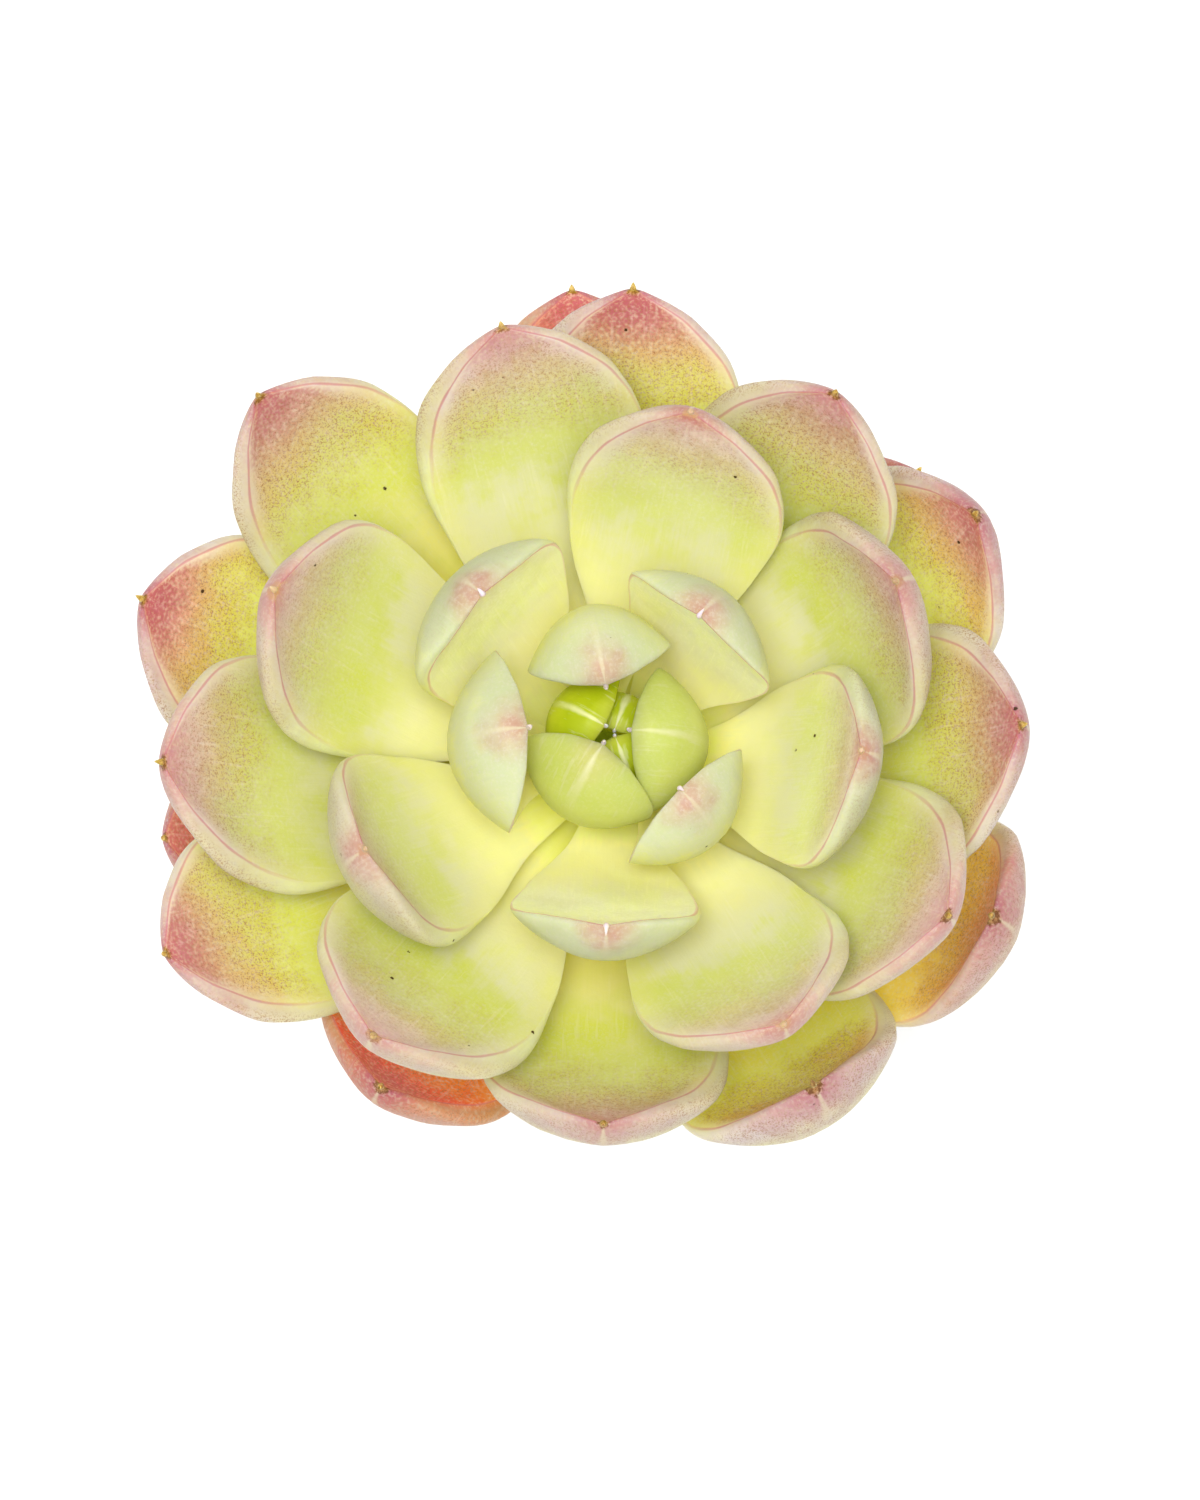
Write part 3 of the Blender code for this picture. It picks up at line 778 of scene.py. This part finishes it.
def potProfile():
    # (radius, height) round the section, from the drain hole out and back
    lip = pot["wall"] / 2
    floorTop = pot["footHeight"] + pot["floor"]
    innerFoot = pot["footRadius"] - pot["footWidth"]
    innerRadius = potOuter(floorTop) - pot["wall"]
    fillet = pot["filletInside"]
    points = [(pot["drainRadius"], pot["footHeight"] + 0.4 * mm),
              (pot["drainRadius"] + 0.4 * mm, pot["footHeight"]),
              (innerFoot - 0.5 * mm, pot["footHeight"]), (innerFoot, pot["footHeight"] - 0.3 * mm),
              (innerFoot + 0.5 * mm, 0.2 * mm), (innerFoot + 1.0 * mm, 0),
              (pot["footRadius"] - 0.9 * mm, 0), (pot["footRadius"] - 0.35 * mm, 0.15 * mm)]
    for height in (0.7, 1.6, 2.3, 3, 4, 6, 10, 18, 28, 38, 46, 51, 54):
        points.append((potOuter(height * mm), height * mm))
    for step in range(13):
        turn = radians(180 * step / 12)
        points.append((pot["rimRadius"] - lip + lip * cos(turn), pot["height"] - lip + lip * sin(turn)))
    for height in (53, 50, 46, 36, 24, 15):
        points.append((potOuter(height * mm) - pot["wall"], height * mm))
    for step in range(7):
        turn = radians(-90 * step / 6)
        points.append((innerRadius - fillet + fillet * cos(turn), floorTop + fillet + fillet * sin(turn)))
    points += [(pot["drainRadius"] + 0.6 * mm, floorTop), (pot["drainRadius"], floorTop - 0.6 * mm)]
    return points


def turnOnAxis(name, profile, segments):
    # a closed turned shape: one ring per profile point, joined round and back to the first
    deselect()
    radius, height = profile[0]
    bpy.ops.mesh.primitive_circle_add(vertices=segments, radius=radius, location=(0, 0, height))
    made = bpy.context.object
    made.name = name
    bpy.ops.object.transform_apply(location=True)
    bpy.ops.object.mode_set(mode="EDIT")
    bpy.ops.mesh.select_all(action="SELECT")
    for nextRadius, nextHeight in profile[1:]:
        bpy.ops.mesh.extrude_region_move(TRANSFORM_OT_translate={"value": (0, 0, nextHeight - height)})
        share = nextRadius / radius
        bpy.ops.transform.resize(value=(share, share, 1), center_override=(0, 0, 0))
        radius, height = nextRadius, nextHeight
    bpy.ops.mesh.select_all(action="DESELECT")
    bpy.ops.mesh.select_non_manifold()
    bpy.ops.mesh.bridge_edge_loops()
    bpy.ops.mesh.select_all(action="SELECT")
    bpy.ops.mesh.normals_make_consistent(inside=False)
    bpy.ops.object.mode_set(mode="OBJECT")
    return made


def potGlaze():
    material, tree, shader = newMaterial("potGlaze")
    place = objectPlace(tree)
    height = addNode(tree, "ShaderNodeSeparateXYZ", {0: place}).outputs["Z"]
    cloud = noiseValue(tree, place, 45, 3)
    drip = noiseValue(tree, place, 160, 2)
    flecks = fade(tree, noiseValue(tree, place, 900, 1, 0.4), 0.74, 0.79)
    glaze = mixColour(tree, fade(tree, cloud, 0.35, 0.65), linear(*pot["glaze"]), linear(*pot["glazePool"]))
    glaze = mixColour(tree, product(tree, flecks, 0.55), glaze, linear(*pot["fleck"]))
    glazeLine = plus(tree, height, centred(tree, drip, 0.0016))
    bare = fade(tree, glazeLine, *pot["glazeLine"])
    clay = mixColour(tree, fade(tree, noiseValue(tree, place, 1500, 3), 0.4, 0.7), linear(*pot["clay"]),
                     linear(*pot["darkClay"]))
    colour = mixColour(tree, bare, glaze, clay)
    # the glaze runs thin over the lip and lets a little clay through
    worn = product(tree, fade(tree, height, *pot["wornLip"]), 0.35)
    colour = mixColour(tree, worn, colour, clay)
    tree.links.new(colour, shader.inputs["Base Color"])
    gloss = plus(tree, 0.2, product(tree, bare, 0.6), product(tree, cloud, 0.08))
    tree.links.new(gloss, shader.inputs["Roughness"])
    relief = plus(tree, product(tree, cloud, 1.0), product(tree, noiseValue(tree, place, 700, 2), 0.12))
    bump = addNode(tree, "ShaderNodeBump", {"Height": relief, "Strength": 0.2,
                                            "Distance": pot["relief"]})
    tree.links.new(bump.outputs[0], shader.inputs["Normal"])
    return material


potBody = turnOnAxis("glazedPot", potProfile(), pot["segments"])
useMaterial(potBody, potGlaze())
bpy.ops.object.shade_smooth_by_angle(angle=radians(40))
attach(potBody, "root")
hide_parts("pot")
print("pot turned")


soil = {
    "headspace": 7 * mm,      # rim down to the soil at the wall
    "crown": 1.5 * mm,
    "gap": 0.35 * mm,
    "rough": 0.9 * mm,
    "rings": 44,
    "segments": 120,
    "crumbs": 620,
    "grit": 90,
    "dark": (74, 54, 38),
    "brown": (112, 82, 56),
    "pale": (150, 118, 84),
    "pumice": (224, 216, 200),
    "wet": (40, 30, 22),
    "dusty": (178, 166, 148),
    "relief": 0.8 * mm,
}


def soilHeight(radius):
    wall = pot["rimRadius"] - pot["wall"]
    return pot["height"] - soil["headspace"] + soil["crown"] * max(0, 1 - (radius / wall) ** 2)


def soilProfile():
    floorTop = pot["footHeight"] + pot["floor"]
    bottom = floorTop + soil["gap"]
    inner = potOuter(floorTop) - pot["wall"]
    top = soilHeight(pot["rimRadius"])
    wallRadius = potOuter(top) - pot["wall"] - 1.5 * soil["gap"]
    points = [(0.5 * mm, bottom), (inner - pot["filletInside"], bottom),
              (inner - 1.5 * soil["gap"], bottom + 5 * mm), (wallRadius, top - 0.6 * mm)]
    for step in range(soil["rings"]):
        radius = wallRadius * 0.985 * (1 - step / soil["rings"])
        points.append((radius, soilHeight(radius)))
    return points


def crumbShape():
    # one small rough lump, a millimetre in radius
    deselect()
    bpy.ops.mesh.primitive_ico_sphere_add(subdivisions=1, radius=1 * mm)
    lump = bpy.context.object
    points = meshPoints(lump)
    stretch = np.array([random.uniform(0.7, 1.3), random.uniform(0.7, 1.2), random.uniform(0.5, 0.9)])
    setPoints(lump, points * stretch * (1 + np.array([[random.uniform(-0.22, 0.22)] for _ in points])))
    return lump


def crumb(shape, kind, where, size):
    lump = shape.copy()
    lump.data = shape.data.copy()
    bpy.context.scene.collection.objects.link(lump)
    spin = (Matrix.Rotation(random.uniform(0, 2 * pi), 3, "Z")
            @ Matrix.Rotation(random.uniform(-0.6, 0.6), 3, "X"))
    points = meshPoints(lump) * (size / mm) @ np.array(spin).T + np.array(where)
    setPoints(lump, points)
    setAttribute(lump, "kind", np.full(len(points), kind))
    setAttribute(lump, "shade", np.full(len(points), random.random()))
    return lump


def pottingMix():
    material, tree, shader = newMaterial("pottingMix")
    place = objectPlace(tree)
    kind, shade = attribute(tree, "kind"), attribute(tree, "shade")
    clod, grain = noiseValue(tree, place, 500, 4, 0.6), noiseValue(tree, place, 2400, 3, 0.7)
    earth = ramp(tree, plus(tree, product(tree, clod, 0.7), product(tree, shade, 0.45), -0.1),
                 ((0.1, soil["dark"]), (0.5, soil["brown"]), (0.85, soil["pale"])))
    earth = mixColour(tree, fade(tree, grain, 0.62, 0.75), earth, linear(*soil["wet"]))
    stone = mixColour(tree, fade(tree, grain, 0.4, 0.7), linear(*soil["pumice"]), linear(*soil["dusty"]))
    colour = mixColour(tree, kind, earth, stone)
    tree.links.new(colour, shader.inputs["Base Color"])
    shader.inputs["Roughness"].default_value = 0.95
    shader.inputs["Specular IOR Level"].default_value = 0.2
    relief = plus(tree, clod, product(tree, grain, 0.4))
    bump = addNode(tree, "ShaderNodeBump", {"Height": relief, "Strength": 0.7,
                                            "Distance": soil["relief"]})
    tree.links.new(bump.outputs[0], shader.inputs["Normal"])
    return material


soilBody = turnOnAxis("pottingMix", soilProfile(), soil["segments"])
points = meshPoints(soilBody)
for index, point in enumerate(points):
    radius = hypot(point[0], point[1])
    if point[2] > soilHeight(radius) - 0.3 * mm:
        spot = Vector(point)
        bump = noise.noise(spot * 420) + 0.6 * noise.noise(spot * 1100) + 0.35 * noise.noise(spot * 2400)
        points[index, 2] += soil["rough"] * (0.5 * bump - 0.25)
setPoints(soilBody, points)
setAttribute(soilBody, "kind", np.zeros(len(points)))
setAttribute(soilBody, "shade", np.full(len(points), 0.3))
shapes = [crumbShape() for _ in range(12)]
lumps = [soilBody]
wallRadius = potOuter(soilHeight(1)) - pot["wall"] - 1.2 * mm
for number in range(soil["crumbs"] + soil["grit"]):
    isGrit = number >= soil["crumbs"]
    size = random.uniform(0.5, 1.15) * mm if isGrit else random.uniform(0.25, 0.95) * mm
    angle, radius = random.uniform(0, 2 * pi), (wallRadius - size) * sqrt(random.random())
    x, y = radius * cos(angle), radius * sin(angle)
    if hypot(x - stemSpot.x, y - stemSpot.y) < stemWidth + size + 0.3 * mm:
        continue
    shape = random.choice(shapes)
    where = (x, y, soilHeight(radius) + random.uniform(-0.3, 0.25) * size)
    lumps.append(crumb(shape, 1.0 if isGrit else 0.0, where, size))
deselect()
for lump in lumps:
    lump.select_set(True)
bpy.context.view_layer.objects.active = soilBody
bpy.ops.object.join()
for shape in shapes:
    bpy.data.objects.remove(shape)
useMaterial(soilBody, pottingMix())
bpy.ops.object.shade_smooth_by_angle(angle=radians(50))
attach(soilBody, "root")
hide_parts("potting_soil")
print("soil laid, lumps:", len(lumps) - 1)


stem = {
    "segments": 72,
    "rings": 110,
    "buried": stemLow.z,
    "bark": (150, 120, 82),
    "green": (178, 176, 96),
    "scar": (196, 170, 128),
    "relief": 0.4 * mm,
    "firstScar": 35,          # scars carry on from the last leaf's place
    "lastScar": 61,
    "scarDrop": 7 * mm,       # how far below its place the first one sits
    "scarSpacing": 0.35 * mm, # and how much further down each next one
    "scarTurn": 0.42,         # half a scar's width, in radians round the stem
    "scarHeight": 0.6 * mm,
    "scarBend": 0.35 * mm,
    "scarDepth": 0.22 * mm,
    "groove": (112, 84, 56),
    "growingPoint": (176, 196, 30),
}


def stemSkin():
    material, tree, shader = newMaterial("stemSkin")
    place = objectPlace(tree)
    scar, rise = attribute(tree, "scar"), attribute(tree, "rise")
    fibre = noiseValue(tree, place, 700, 4, 0.6)
    colour = mixColour(tree, fade(tree, plus(tree, rise, product(tree, fibre, 0.3)), 0.35, 0.8),
                       linear(*stem["bark"]), linear(*stem["green"]))
    colour = mixColour(tree, product(tree, fade(tree, fibre, 0.5, 0.75), 0.4), colour,
                       linear(*stem["groove"]))
    colour = mixColour(tree, product(tree, scar, 0.7), colour, linear(*stem["scar"]))
    colour = mixColour(tree, fade(tree, rise, 0.84, 0.92), colour, linear(*stem["growingPoint"]))
    tree.links.new(colour, shader.inputs["Base Color"])
    shader.inputs["Roughness"].default_value = 0.7
    bump = addNode(tree, "ShaderNodeBump", {"Height": fibre, "Strength": 0.5,
                                            "Distance": stem["relief"]})
    tree.links.new(bump.outputs[0], shader.inputs["Normal"])
    return material


deselect()
bpy.ops.mesh.primitive_uv_sphere_add(segments=stem["segments"], ring_count=stem["rings"], radius=1)
stemBody = bpy.context.object
stemBody.name = "leafyStem"
points = meshPoints(stemBody)
level = 1 - np.arccos(np.clip(points[:, 2], -1, 1)) / pi
turn = np.arctan2(points[:, 1], points[:, 0])
low, high = stem["buried"] + 0.1 * mm, stemTop - 0.05 * mm
height = low + (high - low) * level
placed, scars = [], np.zeros(len(points))
for index, (z, angle) in enumerate(zip(height, turn)):
    below = z - stemTop
    radius = stemRadius(below) * (1 - max(0, 1 - (z - low) / (2 * mm)) ** 2)
    # scars of shed leaves: shallow crescents on the same spiral as the leaves
    crescent = 0
    for scarNumber in range(stem["firstScar"], stem["lastScar"] + 1):
        sunk = (scarNumber - stem["firstScar"]) * stem["scarSpacing"]
        scarHeight = -rosette["spacing"] * scarNumber - stem["scarDrop"] - sunk
        scarTurn = radians(rosette["spiralStart"] + rosette["spiralStep"] * scarNumber)
        aside = (angle - scarTurn + pi) % (2 * pi) - pi
        sideways = (aside / stem["scarTurn"]) ** 2
        near = sideways + ((below - scarHeight - stem["scarBend"] * sideways) / stem["scarHeight"]) ** 2
        crescent = max(crescent, 1 - near)
    scars[index] = max(0, min(1, crescent * 2))
    radius *= 1 + 0.03 * noise.noise(Vector((cos(angle) * 2, sin(angle) * 2, z * 300))) - 0.035
    radius -= stem["scarDepth"] * scars[index] if radius > 1 * mm else 0
    placed.append((stemSpot.x + radius * cos(angle), stemSpot.y + radius * sin(angle), z))
poleRows = np.hypot(points[:, 0], points[:, 1]) < 1e-5
placed = np.array(placed)
placed[poleRows, 0], placed[poleRows, 1] = stemSpot.x, stemSpot.y
setPoints(stemBody, placed)
setAttribute(stemBody, "scar", scars)
setAttribute(stemBody, "rise", level)
useMaterial(stemBody, stemSkin())
bpy.ops.object.shade_smooth()
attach(stemBody, "root")
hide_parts("stem")
print("stem shaped")
